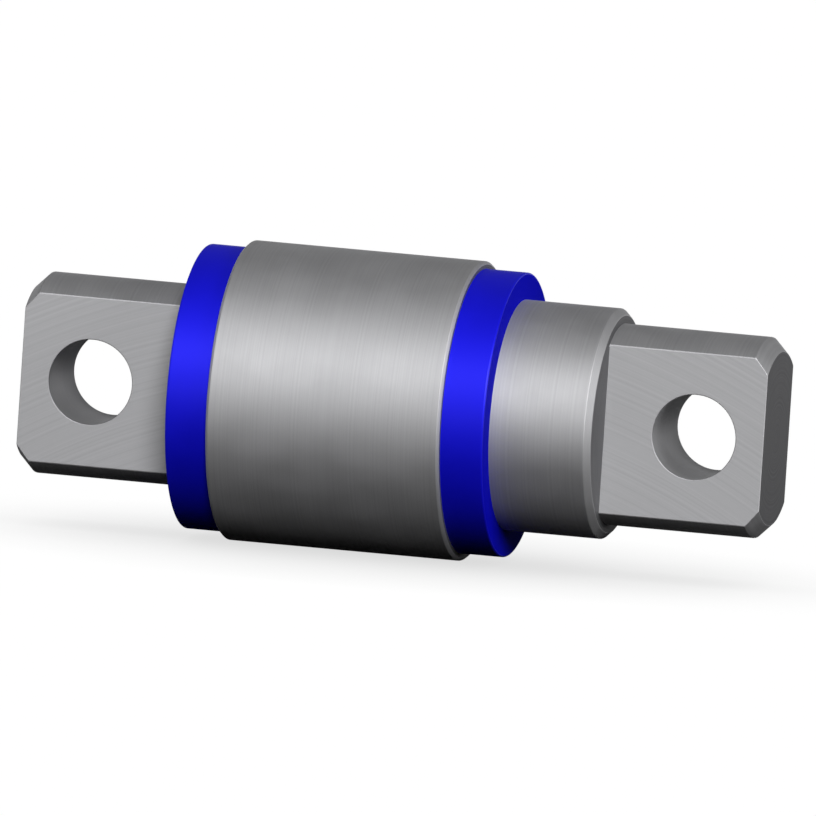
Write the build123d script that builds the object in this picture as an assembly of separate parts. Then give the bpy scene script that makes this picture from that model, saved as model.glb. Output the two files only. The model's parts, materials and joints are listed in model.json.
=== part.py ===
from build123d import *
import os

# Bar-pin bush: a steel bar pin bonded inside a rubber tube, which is bonded inside a thin steel sleeve.
# Millimetres. X runs along the pin, Y along its bolt holes and Z up. The origin is on the pin's axis,
# halfway along the sleeve. The pin reaches further out at its +X end than at its -X end.

# The outer sleeve
sleeve_diameter = 60.0        # outside, pressed into the eye that the bush is made for
sleeve_wall = 1.5
sleeve_length = 48.0
sleeve_chamfer = 0.55         # on the outer rim at both ends, to lead it into the eye

# The rubber between sleeve and pin
rubber_wall = 5.4
rubber_length = 65.2          # stands out of the sleeve by the same amount at both ends
rubber_edge_radius = 0.35     # the mould's small radius on the two outer rims

# The bar pin's thick body, which the rubber grips
body_chamfer = 1.25
short_shoulder = 1.35         # bare body between the rubber and the -X tang
long_shoulder = 20.65         # bare body between the rubber and the +X tang

# The bar pin's two tangs: turned round, then milled flat on two sides and drilled through the flats
shoulder_step = 2.95          # how much smaller in radius a tang is than the body
tang_length = 32.7
tang_chamfer = 2.7            # turned on the pin's ends before the flats are milled
flat_thickness = 21.8         # across the two flats
bolt_hole_diameter = 17.0
bolt_hole_edge = 14.3         # from the pin's end to the middle of its bolt hole

# Diameters that follow, from the sleeve inwards
sleeve_bore = sleeve_diameter - 2 * sleeve_wall
body_diameter = sleeve_bore - 2 * rubber_wall
tang_diameter = body_diameter - 2 * shoulder_step

# Places along X that follow from the lengths
body_start = -rubber_length / 2 - short_shoulder
body_end = rubber_length / 2 + long_shoulder
pin_start = body_start - tang_length
pin_end = body_end + tang_length


def turned_blank():
    # The pin as it leaves the lathe: half its section, spun about X.
    body_radius = body_diameter / 2
    tang_radius = tang_diameter / 2
    outline = [
        (pin_start, 0),
        (pin_start, tang_radius - tang_chamfer),
        (pin_start + tang_chamfer, tang_radius),
        (body_start, tang_radius),
        (body_start, body_radius - body_chamfer),
        (body_start + body_chamfer, body_radius),
        (body_end - body_chamfer, body_radius),
        (body_end, body_radius - body_chamfer),
        (body_end, tang_radius),
        (pin_end - tang_chamfer, tang_radius),
        (pin_end, tang_radius - tang_chamfer),
        (pin_end, 0),
    ]
    half_section = make_face(Polyline(outline, close=True))
    return revolve(half_section, Axis.X)


def milling_cut(x_from, x_to, side):
    # What the cutter takes off one side of a tang, from the flat out past the turned surface.
    depth = body_diameter / 2
    height = body_diameter
    block = Box(x_to - x_from, depth, height)
    return Pos((x_from + x_to) / 2, side * (flat_thickness + depth) / 2, 0) * block


def bolt_hole(x):
    return Pos(x, 0, 0) * Rotation(90, 0, 0) * Cylinder(bolt_hole_diameter / 2, tang_diameter)


def bar_pin():
    pin = turned_blank()
    for side in (-1, 1):
        pin -= milling_cut(pin_start, body_start, side)
        pin -= milling_cut(body_end, pin_end, side)
    pin -= bolt_hole(pin_start + bolt_hole_edge)
    pin -= bolt_hole(pin_end - bolt_hole_edge)
    return pin


def tube(outer_diameter, bore, length):
    # A plain tube along X, centred on the origin.
    upright = Cylinder(outer_diameter / 2, length) - Cylinder(bore / 2, length)
    return Rotation(0, 90, 0) * upright


def outer_rims(part):
    # The two circles where a tube's outside meets its ends.
    return part.edges().filter_by(GeomType.CIRCLE).sort_by(SortBy.RADIUS)[-2:]


def outer_sleeve():
    sleeve = tube(sleeve_diameter, sleeve_bore, sleeve_length)
    return chamfer(outer_rims(sleeve), sleeve_chamfer)


def rubber_tube():
    # Bonded to the sleeve's bore outside and to the pin's body inside.
    rubber = tube(sleeve_bore, body_diameter, rubber_length)
    return fillet(outer_rims(rubber), rubber_edge_radius)


os.makedirs("parts", exist_ok=True)
export_step(bar_pin(), "parts/bar_pin.step")
export_step(rubber_tube(), "parts/rubber_bush.step")
export_step(outer_sleeve(), "parts/outer_sleeve.step")
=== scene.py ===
import json
import math
import bmesh
import bpy
from mathutils import Matrix, Vector


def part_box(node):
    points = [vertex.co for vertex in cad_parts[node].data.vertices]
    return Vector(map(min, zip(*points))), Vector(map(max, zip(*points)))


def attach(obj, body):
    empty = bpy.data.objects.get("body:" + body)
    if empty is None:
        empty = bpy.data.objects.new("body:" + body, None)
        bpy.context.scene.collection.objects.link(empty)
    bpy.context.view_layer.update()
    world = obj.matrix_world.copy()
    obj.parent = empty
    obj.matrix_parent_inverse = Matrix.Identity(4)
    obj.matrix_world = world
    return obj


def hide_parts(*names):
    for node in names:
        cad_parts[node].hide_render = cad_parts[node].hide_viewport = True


# A bar-pin bush: steel pin, blue rubber and steel sleeve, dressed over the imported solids.
# Blender works in metres. The dictionaries give lengths in millimetres, and mm turns them to metres.

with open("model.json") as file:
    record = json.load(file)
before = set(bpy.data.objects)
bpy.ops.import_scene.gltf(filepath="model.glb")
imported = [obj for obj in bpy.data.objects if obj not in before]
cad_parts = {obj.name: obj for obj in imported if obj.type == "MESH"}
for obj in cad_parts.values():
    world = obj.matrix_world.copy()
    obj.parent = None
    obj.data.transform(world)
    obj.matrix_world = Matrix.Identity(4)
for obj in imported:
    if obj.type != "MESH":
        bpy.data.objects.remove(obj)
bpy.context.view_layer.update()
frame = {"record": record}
mm = 0.001
fullTurn = 2 * math.pi
tiny = 0.001 * mm         # two points nearer than this are the same point
sharpBend = math.radians(60)             # faces that meet at more than this show an edge
noiseLow, noiseHigh = 0.3, 0.7           # nearly all of what a noise texture gives lies between these
mounts = {mount["name"]: mount for mount in frame["record"]["mounts"]}
print("frame loaded")


# Small helpers for materials and meshes

def linearColour(hexCode):
    # An sRGB hex colour as the linear values that the shader wants. The sRGB curve starts as a
    # straight line, and from the line's end on it is a power.
    lineEnd, lineSlope, lift, power = 0.04045, 12.92, 0.055, 2.4
    channels = [int(hexCode[i:i + 2], 16) / 255 for i in (1, 3, 5)]
    linear = [c / lineSlope if c <= lineEnd else ((c + lift) / (1 + lift)) ** power for c in channels]
    return (*linear, 1.0)


def addNode(tree, kind, settings=None, links=None):
    # Settings name either an input socket or a property of the node. Links give an input its source.
    node = tree.nodes.new(kind)
    for name, value in (settings or {}).items():
        if isinstance(name, int) or name in node.inputs:
            node.inputs[name].default_value = value
        else:
            setattr(node, name, value)
    for name, source in (links or {}).items():
        tree.links.new(source, node.inputs[name])
    return node


def newMaterial(name):
    material = bpy.data.materials.new(name)
    material.use_nodes = True
    material.node_tree.nodes.clear()
    return material


def ofKind(items, kind):
    # The operators give back corners, edges and faces in one list. This keeps one kind.
    return [item for item in items if isinstance(item, kind)]


def liesAt(item, axis, level):
    # Whether a whole edge or face is at that level of an axis, where axis 0 is X and 1 is Y.
    return all(abs(vert.co[axis] - level) < tiny for vert in item.verts)


def setFinish(faces, finish):
    # A finish is a place in the piece's list of materials. A new face has the first, which is 0.
    for face in faces:
        face.material_index = finish


def setEndFinish(bm, reach):
    # On a tube with its middle at the origin, a face with every corner at an end gets the second finish.
    # On the sleeve and the rubber the second finish is a darker colour, which paints shade on their end
    # faces.
    endFinish = 1
    setFinish([f for f in bm.faces if all(abs(abs(v.co.x) - reach) < tiny for v in f.verts)], endFinish)


def addObject(name, data):
    added = bpy.data.objects.new(name, data)
    bpy.context.scene.collection.objects.link(added)
    return added


def addMeshObject(name, bm, materials):
    mesh = bpy.data.meshes.new(name)
    bm.to_mesh(mesh)
    bm.free()
    for material in materials:
        mesh.materials.append(material)
    return addObject(name, mesh)


def finishPiece(name, bm, materials, node):
    # Points the faces outwards, makes the object and hands it to the frame in place of its solid.
    bmesh.ops.remove_doubles(bm, verts=bm.verts, dist=tiny)
    bmesh.ops.recalc_face_normals(bm, faces=bm.faces)
    for face in bm.faces:
        face.smooth = True
    for edge in bm.edges:
        edge.smooth = edge.calc_face_angle(0) < sharpBend
    piece = addMeshObject(name, bm, materials)
    weighted = piece.modifiers.new("flatFacesStayFlat", "WEIGHTED_NORMAL")
    weighted.mode = "FACE_AREA"
    weighted.keep_sharp = True
    weighted.weight = 100                    # the largest face at a corner alone decides
    weighted.thresh = mm * tiny              # areas nearer to each other than this count as equal
    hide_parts(node)
    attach(piece, "root")
    print(name, "made with", len(piece.data.polygons), "faces")


def roundCorners(bm, corners, size, segments):
    # The small radius that a tool's nose or a mould leaves on a corner of a section.
    bmesh.ops.bevel(bm, geom=corners, offset=size, offset_type="OFFSET", segments=segments, profile=0.5,
                    affect="VERTICES", clamp_overlap=True, material=-1)


def turnSection(bm, section, rounded, size, segments, steps, closed):
    # Draws a section above the X axis, rounds the named corners and spins it as on a lathe.
    corners = [bm.verts.new((x, 0, radius)) for x, radius in section]
    ends = corners[1:] + corners[:1] if closed else corners[1:]
    for pair in zip(corners, ends):
        bm.edges.new(pair)
    roundCorners(bm, [corners[i] for i in rounded], size, segments)
    bmesh.ops.spin(bm, geom=bm.verts[:] + bm.edges[:], cent=(0, 0, 0), axis=(1, 0, 0), dvec=(0, 0, 0),
                   angle=fullTurn, steps=steps, use_merge=True, use_duplicate=False)


# Steel, as the machine tools leave it

def machinedSteel(name, look):
    # Bare steel with the fine, uneven lines of a cutting tool. The lines lie square to the axes that
    # "across" names: one axis gives straight rings along it, two give circles or arcs about "centre".
    # A Mapping node turns distances into numbers of lines, and the length of what it gives counts them.
    material = newMaterial(name)
    tree = material.node_tree
    place = addNode(tree, "ShaderNodeTexCoord")
    perLine = [axis / (look["pitch"] * mm) for axis in look["across"]]
    offset = [-c * mm * s for c, s in zip(look["centre"], perLine)]
    mapped = addNode(tree, "ShaderNodeMapping", {"Location": offset, "Scale": perLine},
                     {"Vector": place.outputs["Object"]})
    count = addNode(tree, "ShaderNodeVectorMath", {"operation": "LENGTH"}, {0: mapped.outputs["Vector"]})
    lines = addNode(tree, "ShaderNodeTexNoise",
                    {"noise_dimensions": "1D", "Scale": 1.0, **look["lineNoise"]},
                    {"W": count.outputs["Value"]})
    # Oil and handling leave faint clouds, a few millimetres wide, in the shine.
    clouds = addNode(tree, "ShaderNodeTexNoise",
                     {"Scale": 1 / (look["cloudSize"] * mm), **look["cloudNoise"]},
                     {"Vector": place.outputs["Object"]})
    tone = addNode(tree, "ShaderNodeValToRGB", {}, {"Fac": lines.outputs["Fac"]})
    stops = ((noiseLow, look["dark"]), (noiseHigh, look["light"]))
    for element, (position, shade) in zip(tone.color_ramp.elements, stops):
        element.position = position
        element.color = linearColour(shade)
    gloss = addNode(tree, "ShaderNodeMapRange",
                    {"From Min": noiseLow, "From Max": noiseHigh,
                     "To Min": look["roughness"] - look["roughnessSpread"],
                     "To Max": look["roughness"] + look["roughnessSpread"]},
                    {"Value": clouds.outputs["Fac"]})
    grooves = addNode(tree, "ShaderNodeBump", {"Strength": 1.0, "Distance": look["depth"] * mm},
                      {"Height": lines.outputs["Fac"]})
    steel = addNode(tree, "ShaderNodeBsdfPrincipled", {"Metallic": look["metallic"]},
                    {"Base Color": tone.outputs["Color"], "Roughness": gloss.outputs["Result"],
                     "Normal": grooves.outputs["Normal"]})
    addNode(tree, "ShaderNodeOutputMaterial", {}, {"Surface": steel.outputs["BSDF"]})
    return material


# Lathe-turned steel: an even grey whose shine breaks up into fine rings round the bar.
turnedSteel = {
    "across": (1, 0, 0),
    "centre": (0, 0, 0),
    "pitch": 0.5,             # the real feed is about 0.15, too fine to show
    "depth": 0.0022,
    "lineNoise": {"Detail": 3.0, "Roughness": 0.65},         # finer scratches within a line
    "cloudSize": 9,
    "cloudNoise": {"Detail": 4.0, "Roughness": 0.6},
    "dark": "#AAAAAC",
    "light": "#B2B2B4",
    "roughness": 0.64,
    "roughnessSpread": 0.03,
    "metallic": 1.0,
}
# Face-milled steel: flat and a shade paler, with wide shallow arcs from the cutter.
milledSteel = {
    **turnedSteel,
    "across": (1, 0, 1),
    "centre": (9.65, 0, -140),               # far below the bar's middle, so the arcs are wide
    "pitch": 0.6,             # the real marks are about 0.2 apart
    "depth": 0.0015,
    "dark": "#AFAFB1",
    "light": "#B7B7B9",
}
# Steel faced square on the lathe and left dull, with circles round the bar's axis. Its darker grey is
# painted shade on the faces square to the axis.
facedSteelPaintedShade = {
    **turnedSteel,
    "across": (0, 1, 1),
    "dark": "#69696B",
    "light": "#757577",
}
# Drilled and reamed steel: rings down the hole, deeper than those outside.
boredSteel = {
    **turnedSteel,
    "across": (0, 1, 0),
    "pitch": 0.4,
    "depth": 0.004,
}
# Precision steel tube, finish-turned for its press fit: finer rings than on the pin.
tubeSteel = {
    **turnedSteel,
    "pitch": 0.4,
    "depth": 0.0015,
}
print("steel finishes described")


# The bar pin: turned, then each tang milled flat on two sides and drilled through the flats
barPin = {
    "longShoulder": 20.65,    # bare body from the rubber to the long end's tang
    "bodyChamfer": 1.25,
    "shoulderStep": 2.95,     # a tang's radius is this much under the body's
    "tangChamfer": 2.7,
    "turnedBreak": 0.15,      # the tool's nose on the turned corners
    "milledBreak": 0.18,      # the file's stroke along the milled edges
    "drillBreak": 0.2,        # the countersink's touch on both lips of a bolt hole
    "faceRing": 0.4,          # width of the turned ring that the shoulder's face grows from
    "steps": 256,             # faces round the body
    "arcSteps": 44,           # along each turned arc of a tang
    "holeSteps": 96,          # round a bolt hole
    "roundSteps": 3,          # across a broken edge
    "coneSteps": 4,           # down a tang's chamfer
    "coneLead": 0.05,         # the first ring of the chamfer lies this share of a step past its corner
}


def tangOutline(bm, x, radius, halfFlat):
    # The tang's section: two arcs of the turned bar joined by two milled flats, corners broken.
    halfArc = math.asin(halfFlat / radius)
    height = radius * math.cos(halfArc)
    corners = []
    for side in (1, -1):
        corner = bm.verts.new((x, -side * halfFlat, side * height))
        spun = bmesh.ops.spin(bm, geom=[corner], cent=(x, 0, 0), axis=(-1, 0, 0), dvec=(0, 0, 0),
                              angle=2 * halfArc, steps=barPin["arcSteps"], use_duplicate=False)
        corners.append((corner, ofKind(spun["geom_last"], bmesh.types.BMVert)[0]))
    (topStart, topEnd), (lowStart, lowEnd) = corners
    bm.edges.new((topEnd, lowStart))
    bm.edges.new((lowEnd, topStart))
    roundCorners(bm, [topStart, topEnd, lowStart, lowEnd], barPin["milledBreak"] * mm,
                 barPin["roundSteps"])
    return [edge for edge in bm.edges if edge.is_wire]


def growTang(bm, outline, sections):
    # Draws the outline out along X, and at each section fits it to the new radius and thickness.
    oldRadius, oldHalf = sections[0][1:]
    loop = outline
    for x, radius, half in sections[1:]:
        grown = bmesh.ops.extrude_edge_only(bm, edges=loop)["geom"]
        for vert in ofKind(grown, bmesh.types.BMVert):
            oldRise = math.sqrt(oldRadius ** 2 - vert.co.y ** 2)
            vert.co.y *= half / oldHalf
            vert.co.z *= math.sqrt(radius ** 2 - vert.co.y ** 2) / oldRise
            vert.co.x = x
        loop = ofKind(grown, bmesh.types.BMEdge)
        oldRadius, oldHalf = radius, half
    return loop


def makeBarPin():
    milledFinish, facedPaintedShadeFinish, boredFinish = 1, 2, 3         # turned steel comes first, as 0
    low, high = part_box("bar_pin")
    middle = (low.x + high.x) / 2            # the pin is the same on both sides of its middle
    hole = mounts["long_end_hole"]
    halfFlat = hole["dims"]["length_mm"] * mm / 2
    bodyRadius = high.z
    tangRadius = bodyRadius - barPin["shoulderStep"] * mm
    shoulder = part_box("rubber_bush")[1].x + barPin["longShoulder"] * mm
    chamfer = barPin["bodyChamfer"] * mm
    turnedBreak = barPin["turnedBreak"] * mm

    # The thick body, to just inside its shoulder's face
    bm = bmesh.new()
    faceRadius = bodyRadius - chamfer - barPin["faceRing"] * mm
    body = [(middle, bodyRadius), (shoulder - chamfer, bodyRadius), (shoulder, bodyRadius - chamfer),
            (shoulder, faceRadius)]
    turnSection(bm, body, (1, 2), turnedBreak, barPin["roundSteps"], barPin["steps"], closed=False)

    # The tang, from its root through the turned chamfer to its end face
    cone = barPin["tangChamfer"] * mm
    coneStart = high.x - cone
    edgeRadius = barPin["milledBreak"] * mm
    sections = [(shoulder, tangRadius, halfFlat), (coneStart - turnedBreak, tangRadius, halfFlat)]
    for i in range(barPin["coneSteps"]):
        x = coneStart + (cone - edgeRadius) * (i + barPin["coneLead"]) / barPin["coneSteps"]
        sections.append((x, tangRadius - (x - coneStart), halfFlat))
    for i in range(barPin["roundSteps"]):
        angle = math.pi / 2 * i / barPin["roundSteps"]
        x = high.x - edgeRadius * (1 - math.sin(angle))
        sections.append((x, tangRadius - (x - coneStart), halfFlat - edgeRadius * (1 - math.cos(angle))))
    sections.append((high.x, tangRadius - cone - turnedBreak / 2, halfFlat - edgeRadius))
    outline = tangOutline(bm, shoulder, tangRadius, halfFlat)
    endLoop = growTang(bm, outline, sections)

    # Its end face and the shoulder's face, both faced square
    faced = bmesh.ops.edgeloop_fill(bm, edges=endLoop)["faces"]
    rims = [edge for edge in bm.edges if edge.is_boundary and liesAt(edge, 0, shoulder)]
    bmesh.ops.triangle_fill(bm, use_beauty=True, edges=rims)
    # The faced finish's darker grey paints shade on the end face and the shoulder's face.
    setFinish(faced + [face for face in bm.faces if liesAt(face, 0, shoulder)], facedPaintedShadeFinish)

    # The bolt hole: its wall and lips, spun about the hole's own axis
    holeRadius = hole["dims"]["r_mm"] * mm
    holeX = hole["pos_m"][0]
    lip = barPin["drillBreak"] * mm
    wall = [(holeRadius + lip, -halfFlat), (holeRadius, -halfFlat + lip),
            (holeRadius, halfFlat - lip), (holeRadius + lip, halfFlat)]
    before = set(bm.faces)
    rod = [bm.verts.new((holeX + radius, y, 0)) for radius, y in wall]
    rodEdges = [bm.edges.new(pair) for pair in zip(rod, rod[1:])]
    bmesh.ops.spin(bm, geom=rod + rodEdges, cent=(holeX, 0, 0), axis=(0, 1, 0), dvec=(0, 0, 0),
                   angle=fullTurn, steps=barPin["holeSteps"], use_merge=True, use_duplicate=False)
    setFinish(set(bm.faces) - before, boredFinish)

    # Each flat: the strips between the sections give way to one face with the hole in it
    for side in (-1, 1):
        flatY = side * halfFlat
        strips = [face for face in bm.faces if liesAt(face, 1, flatY)]
        bmesh.ops.delete(bm, geom=strips, context="FACES")
        rims = [edge for edge in bm.edges if edge.is_boundary and liesAt(edge, 1, flatY)]
        filled = bmesh.ops.triangle_fill(bm, use_beauty=True, edges=rims)["geom"]
        setFinish(ofKind(filled, bmesh.types.BMFace), milledFinish)

    # The other half is the mirror image
    bmesh.ops.mirror(bm, geom=bm.verts[:] + bm.edges[:] + bm.faces[:], axis="X", merge_dist=tiny,
                     matrix=Matrix.Translation((-middle, 0, 0)))
    finishes = [machinedSteel("turnedSteel", turnedSteel), machinedSteel("milledSteel", milledSteel),
                machinedSteel("facedSteelPaintedShade", facedSteelPaintedShade), machinedSteel("boredSteel", boredSteel)]
    finishPiece("barPin", bm, finishes, "bar_pin")


makeBarPin()


# The outer sleeve: a thin steel tube with a lead-in chamfer on both outer rims
outerSleeve = {
    "chamfer": 0.55,
    "edgeBreak": 0.1,
    "steps": 288,
    "roundSteps": 2,
}


def makeOuterSleeve():
    low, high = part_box("outer_sleeve")
    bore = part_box("rubber_bush")[1].z        # the rubber fills the bore
    chamfer = outerSleeve["chamfer"] * mm
    section = [(low.x, bore), (low.x, high.z - chamfer), (low.x + chamfer, high.z),
               (high.x - chamfer, high.z), (high.x, high.z - chamfer), (high.x, bore)]
    bm = bmesh.new()
    everyCorner = range(len(section))
    turnSection(bm, section, everyCorner, outerSleeve["edgeBreak"] * mm, outerSleeve["roundSteps"],
                outerSleeve["steps"], closed=True)
    setEndFinish(bm, high.x)
    # The tube's end faces take the faced steel's darker grey, which is painted shade.
    finishes = [machinedSteel("tubeSteel", tubeSteel), machinedSteel("facedTubePaintedShade", facedSteelPaintedShade)]
    finishPiece("outerSleeve", bm, finishes, "outer_sleeve")


makeOuterSleeve()


# The rubber: cast blue polyurethane, bonded to the pin and the sleeve
rubberBush = {
    "edgeRadius": 0.35,
    "steps": 288,
    "roundSteps": 4,
}
# Cast in a blasted mould from pearl-pigmented stock: a strong blue that blooms softly where it faces
# the light and falls off fast round the curve, under a thin satin skin with no mirror image.
mouldedSkin = {
    "colour": "#0B0BD8",
    "deepColour": "#0606CA",
    "flowSize": 14,           # the faint clouds left by the pour
    "flowNoise": {"Detail": 3.0, "Roughness": 0.55},
    "metallic": 0.6,          # the pearl pigment's share of the shine
    "ior": 1.5,
    "specular": 0.2,
    "roughness": 0.6,
    "roughnessSpread": 0.04,
    "skinGloss": 0.3,
    "skinRoughness": 0.35,
    "grain": 0.6,             # the blasted mould's texture, drawn three times its real size
    "grainDepth": 0.006,
    "grainNoise": {"Detail": 2.0, "Roughness": 0.5},
}
# The two ends, trimmed flat after casting: cut dull and without the pearl's bloom, in a darker blue that
# is painted shade on the end faces.
trimmedSkinPaintedShade = {
    **mouldedSkin,
    # painted shade: a darker blue than the moulded skin's
    "colour": "#0404B0",
    "deepColour": "#0202A4",
    "metallic": 0.0,
    "specular": 0.05,
    "roughness": 0.8,
    "skinGloss": 0.0,
    "grainDepth": 0.012,
}


def castPolyurethane(name, look):
    material = newMaterial(name)
    tree = material.node_tree
    place = addNode(tree, "ShaderNodeTexCoord")
    grain = addNode(tree, "ShaderNodeTexNoise", {"Scale": 1 / (look["grain"] * mm), **look["grainNoise"]},
                    {"Vector": place.outputs["Object"]})
    flow = addNode(tree, "ShaderNodeTexNoise", {"Scale": 1 / (look["flowSize"] * mm), **look["flowNoise"]},
                   {"Vector": place.outputs["Object"]})
    colourA, colourB, colourOut = 6, 7, 2    # the Mix node's sockets for colours
    tone = addNode(tree, "ShaderNodeMix",
                   {"data_type": "RGBA", colourA: linearColour(look["deepColour"]),
                    colourB: linearColour(look["colour"])}, {"Factor": flow.outputs["Fac"]})
    bloom = addNode(tree, "ShaderNodeMapRange",
                    {"From Min": noiseLow, "From Max": noiseHigh,
                     "To Min": look["roughness"] - look["roughnessSpread"],
                     "To Max": look["roughness"] + look["roughnessSpread"]},
                    {"Value": flow.outputs["Fac"]})
    pitting = addNode(tree, "ShaderNodeBump", {"Strength": 1.0, "Distance": look["grainDepth"] * mm},
                      {"Height": grain.outputs["Fac"]})
    skin = addNode(tree, "ShaderNodeBsdfPrincipled",
                   {"Metallic": look["metallic"], "IOR": look["ior"],
                    "Specular IOR Level": look["specular"], "Coat Weight": look["skinGloss"],
                    "Coat Roughness": look["skinRoughness"]},
                   {"Base Color": tone.outputs[colourOut], "Roughness": bloom.outputs["Result"],
                    "Normal": pitting.outputs["Normal"]})
    addNode(tree, "ShaderNodeOutputMaterial", {}, {"Surface": skin.outputs["BSDF"]})
    return material


def makeRubberBush():
    low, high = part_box("rubber_bush")
    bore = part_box("bar_pin")[1].z            # the pin's body fills the bore
    section = [(low.x, bore), (low.x, high.z), (high.x, high.z), (high.x, bore)]
    bm = bmesh.new()
    turnSection(bm, section, (1, 2), rubberBush["edgeRadius"] * mm, rubberBush["roundSteps"],
                rubberBush["steps"], closed=True)
    setEndFinish(bm, high.x)
    finishes = [castPolyurethane("mouldedPolyurethane", mouldedSkin),
                castPolyurethane("trimmedPolyurethanePaintedShade", trimmedSkinPaintedShade)]
    finishPiece("rubberBush", bm, finishes, "rubber_bush")


makeRubberBush()


# The studio: a white floor that the sleeve rests on, a dim room, and three lamps: a strong soft one
# at the front, a weak one at the right for the chamfers, and a weaker one at the left for the far end
studio = {
    "floorRadius": 6000,
    "floorSegments": 64,
    "floorGlow": 1.0,         # the floor's white
    "floorBounce": "#0A0A0A",                # what it throws back of the lamps' light, next to nothing
    "paintedShadowReach": 45,       # how far out a painted shadow darkens the floor's white round the bush
    "whiteUnderPaintedShadow": 0.7,      # what the painted shadow leaves of the floor's white where the bush touches it
    "contactSamples": 8,
    "paintedReflectionShadeStart": 40,         # reflections see the floor painted dark out to here, a painted shade round the bush
    "paintedReflectionShadeEnd": 1500,         # out to here, where the floor is as white as the camera sees it
    "fill": 0.12,             # the room's own light, where 1 is white
    "horizonGlow": 1.0,       # and the room's white behind the floor's edge
    "horizonStart": 0.02,     # the room fades from white to dim between these two heights, each
    "horizonTop": 0.16,       # given as the sine of its angle above level
}
keyLamp = {
    "azimuth": 17,            # in degrees, as are the elevation and the angle
    "elevation": 31,
    "strength": 3.7,
    "angle": 24,              # how wide the lamp looks from the bush, which softens its shadows
}
edgeLamp = {
    "azimuth": 75,
    "elevation": 20,
    "strength": 1.2,
    "angle": 20,
}
leftLamp = {
    "azimuth": 265,
    "elevation": 4,
    "strength": 0.6,
    "angle": 30,
}


def backgroundShare(tree):
    # 1 for what the camera, a reflection or glass sees of the background, 0 for the light that it casts.
    ray = addNode(tree, "ShaderNodeLightPath")
    seen = addNode(tree, "ShaderNodeMath", {"operation": "ADD"},
                   {0: ray.outputs["Is Camera Ray"], 1: ray.outputs["Is Glossy Ray"]})
    return addNode(tree, "ShaderNodeMath", {"operation": "ADD", "use_clamp": True},
                   {0: seen.outputs["Value"], 1: ray.outputs["Is Transmission Ray"]})


def makeFloor():
    material = newMaterial("paleFloor")
    tree = material.node_tree
    share = backgroundShare(tree)
    # Painted shadow: ambient occlusion darkens the floor's white glow round the bush, since the lamps' own
    # shadow hardly shows on it.
    occlusion = addNode(tree, "ShaderNodeAmbientOcclusion",
                        {"samples": studio["contactSamples"], "Distance": studio["paintedShadowReach"] * mm})
    contact = addNode(tree, "ShaderNodeMapRange", {"To Min": studio["whiteUnderPaintedShadow"]},
                      {"Value": occlusion.outputs["AO"]})
    glow = addNode(tree, "ShaderNodeMath", {"operation": "MULTIPLY", 1: studio["floorGlow"]},
                   {0: share.outputs["Value"]})
    glowWithPaintedShadow = addNode(tree, "ShaderNodeMath", {"operation": "MULTIPLY"},
                       {0: glow.outputs["Value"], 1: contact.outputs["Result"]})
    # Painted shade for reflections: near the bush the floor's white fades with distance from the origin
    # for every ray but the camera's, so the steel mirrors a dark floor and its underside stays dark.
    place = addNode(tree, "ShaderNodeTexCoord")
    reach = addNode(tree, "ShaderNodeVectorMath", {"operation": "LENGTH"}, {0: place.outputs["Object"]})
    shade = addNode(tree, "ShaderNodeMapRange",
                    {"From Min": studio["paintedReflectionShadeStart"] * mm, "From Max": studio["paintedReflectionShadeEnd"] * mm},
                    {"Value": reach.outputs["Value"]})
    ray = addNode(tree, "ShaderNodeLightPath")
    seen = addNode(tree, "ShaderNodeMath", {"operation": "MAXIMUM"},
                   {0: shade.outputs["Result"], 1: ray.outputs["Is Camera Ray"]})
    glowWithBothPaintedShades = addNode(tree, "ShaderNodeMath", {"operation": "MULTIPLY"},
                     {0: glowWithPaintedShadow.outputs["Value"], 1: seen.outputs["Value"]})
    lit = addNode(tree, "ShaderNodeBsdfDiffuse", {"Color": linearColour(studio["floorBounce"])})
    white = addNode(tree, "ShaderNodeEmission", {}, {"Strength": glowWithBothPaintedShades.outputs["Value"]})
    both = addNode(tree, "ShaderNodeAddShader", {}, {0: lit.outputs["BSDF"], 1: white.outputs["Emission"]})
    addNode(tree, "ShaderNodeOutputMaterial", {}, {"Surface": both.outputs["Shader"]})
    bm = bmesh.new()
    bmesh.ops.create_circle(bm, cap_ends=True, segments=studio["floorSegments"],
                            radius=studio["floorRadius"] * mm,
                            matrix=Matrix.Translation((0, 0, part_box("outer_sleeve")[0].z)))
    floor = addMeshObject("floor", bm, [material])


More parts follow.
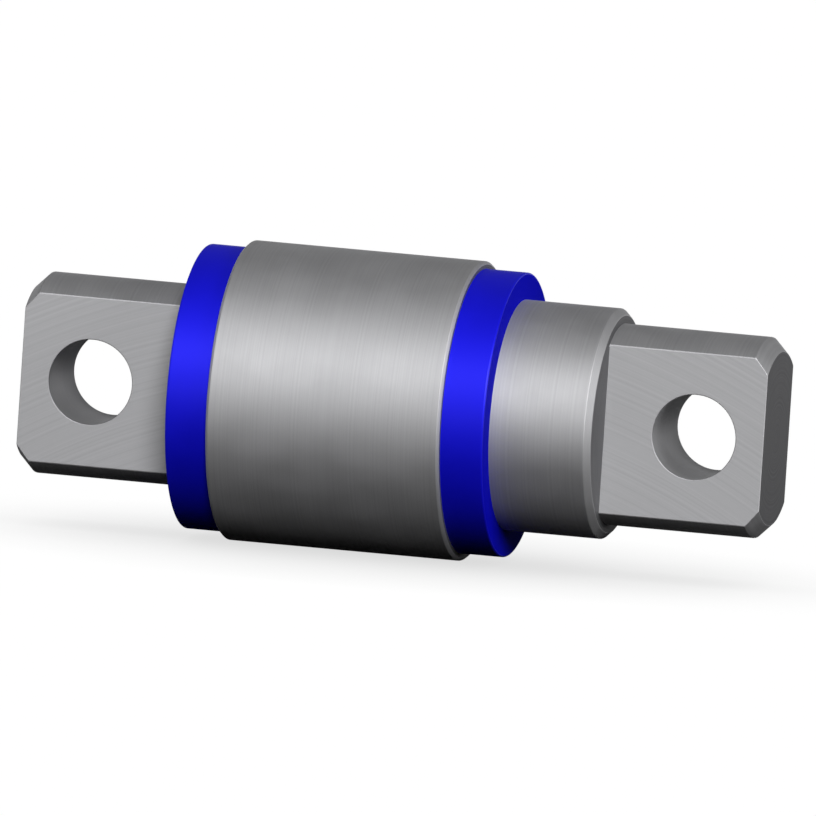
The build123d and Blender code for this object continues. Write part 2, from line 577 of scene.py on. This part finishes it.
def makeWorld():
    # White at the horizon, where the floor ends, and dim overhead.
    world = bpy.data.worlds.new("studioRoom")
    bpy.context.scene.world = world
    world.use_nodes = True
    tree = world.node_tree
    tree.nodes.clear()
    share = backgroundShare(tree)
    direction = addNode(tree, "ShaderNodeTexCoord")
    split = addNode(tree, "ShaderNodeSeparateXYZ", {}, {0: direction.outputs["Generated"]})
    horizon = addNode(tree, "ShaderNodeMapRange",
                      {"From Min": studio["horizonStart"], "From Max": studio["horizonTop"],
                       "To Min": studio["horizonGlow"], "To Max": studio["fill"]},
                      {"Value": split.outputs["Z"]})
    strength = addNode(tree, "ShaderNodeMapRange", {"To Min": studio["fill"]},
                       {"Value": share.outputs["Value"], "To Max": horizon.outputs["Result"]})
    room = addNode(tree, "ShaderNodeBackground", {"Color": linearColour("#FFFFFF")},
                   {"Strength": strength.outputs["Result"]})
    addNode(tree, "ShaderNodeOutputWorld", {}, {"Surface": room.outputs["Background"]})


def compassDirection(azimuth, elevation):
    # From the bush outwards: azimuth 0 is straight in front, at -Y, and 90 is at +X.
    turned, raised = math.radians(azimuth), math.radians(elevation)
    level = math.cos(raised)
    return Vector((math.sin(turned) * level, -math.cos(turned) * level, math.sin(raised)))


def makeLamp(name, look):
    data = bpy.data.lights.new(name, "SUN")
    data.energy = look["strength"]
    data.angle = math.radians(look["angle"])
    lamp = addObject(name, data)
    lamp.rotation_mode = "QUATERNION"
    towards = compassDirection(look["azimuth"], look["elevation"])
    lamp.rotation_quaternion = towards.to_track_quat("Z", "Y")


# The camera: a parallel view from the front right, a little above and tilted, as in the photo
photoView = {
    "azimuth": 13.16,         # in degrees, as are the elevation and the roll
    "elevation": 6.205,
    "roll": 3.775,
    "width": 162.63,          # millimetres across the picture
    "right": 9.985,           # where the picture's middle lies from the bush's origin
    "up": -1.495,
    "distance": 1000,         # from the bush, which in a parallel view changes nothing
    "farLimit": 20000,        # the camera sees this far
}


def makeCamera():
    quarterTurn = 90
    back = compassDirection(photoView["azimuth"], photoView["elevation"])
    level = compassDirection(photoView["azimuth"] + quarterTurn, 0)
    turn = Matrix.Rotation(math.radians(photoView["roll"]), 3, back)
    right = turn @ level
    up = turn @ back.cross(level)
    data = bpy.data.cameras.new("photoCamera")
    data.type = "ORTHO"
    data.ortho_scale = photoView["width"] * mm
    data.clip_end = photoView["farLimit"] * mm
    camera = addObject("photoCamera", data)
    place = (right * photoView["right"] + up * photoView["up"] + back * photoView["distance"]) * mm
    axes = Matrix((right, up, back)).transposed().to_4x4()
    camera.matrix_world = Matrix.Translation(place) @ axes
    bpy.context.scene.camera = camera


makeFloor()
makeWorld()
makeLamp("keyLamp", keyLamp)
makeLamp("edgeLamp", edgeLamp)
makeLamp("leftLamp", leftLamp)
makeCamera()
bpy.context.scene.view_settings.view_transform = "Standard"
print("studio and camera ready")
